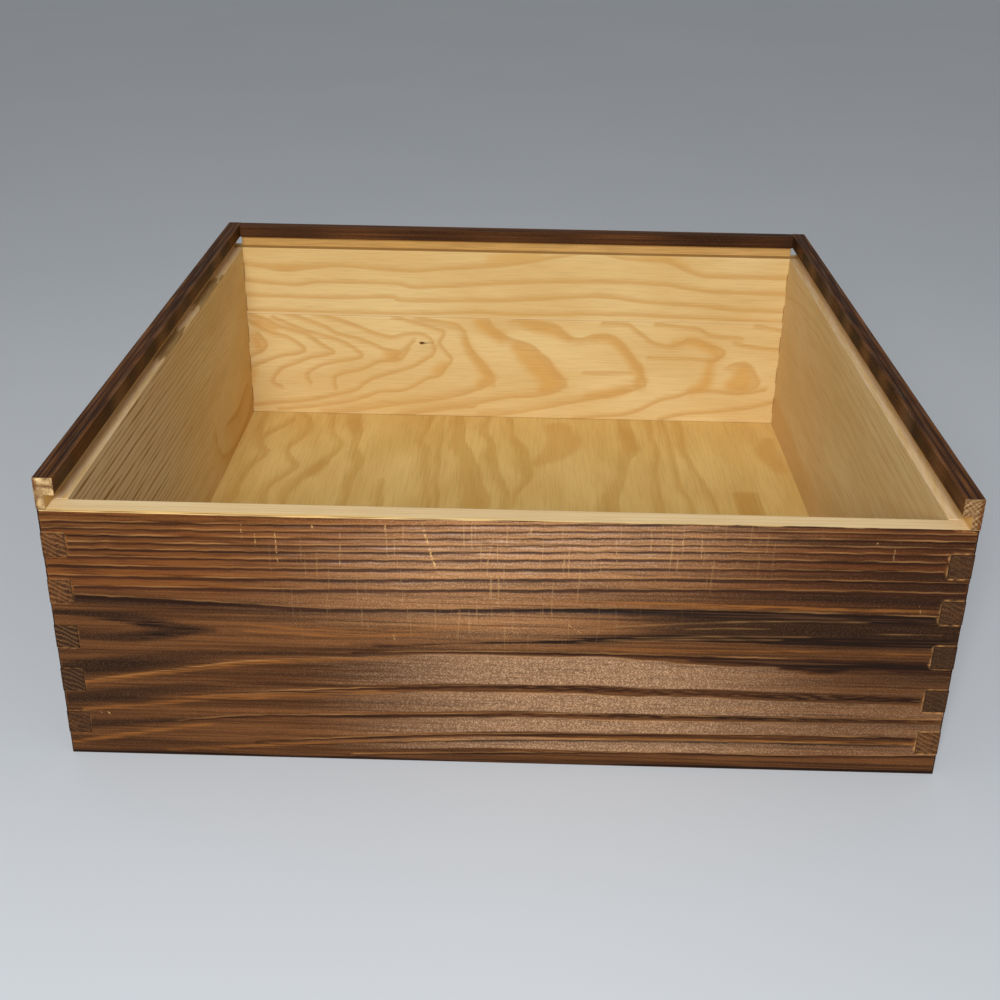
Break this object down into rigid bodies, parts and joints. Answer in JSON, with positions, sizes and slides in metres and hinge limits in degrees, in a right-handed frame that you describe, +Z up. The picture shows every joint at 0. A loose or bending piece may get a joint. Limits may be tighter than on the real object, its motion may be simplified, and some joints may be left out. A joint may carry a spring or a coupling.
{
  "type": "wooden storage box",
  "caption": "Open square box of finger-jointed boards, burnt and brushed outside and bare pine inside, with a lid groove around the top and a lower front board.",
  "frame": {"origin": "middle of the underside, on the surface that the box stands on", "axes": "+Z up, +X to the right seen from the front, -Y towards the lower front board, where a lid slides in"},
  "size_m": [0.35, 0.35, 0.125],
  "materials": {
    "front_wood": "burnt, wire-brushed and satin-coated softwood outside, bare inside",
    "back_wood": "burnt, wire-brushed and satin-coated softwood outside, bare inside",
    "side_wood": "burnt, wire-brushed and satin-coated softwood outside, bare inside",
    "plywood": "bare softwood plywood"
  },
  "bodies": {
    "root": {"front_board": "front_wood", "back_upper_board": "back_wood", "back_lower_board": "back_wood", "left_side": "side_wood", "right_side": "side_wood", "bottom_panel": "plywood"}
  },
  "joints": []
}
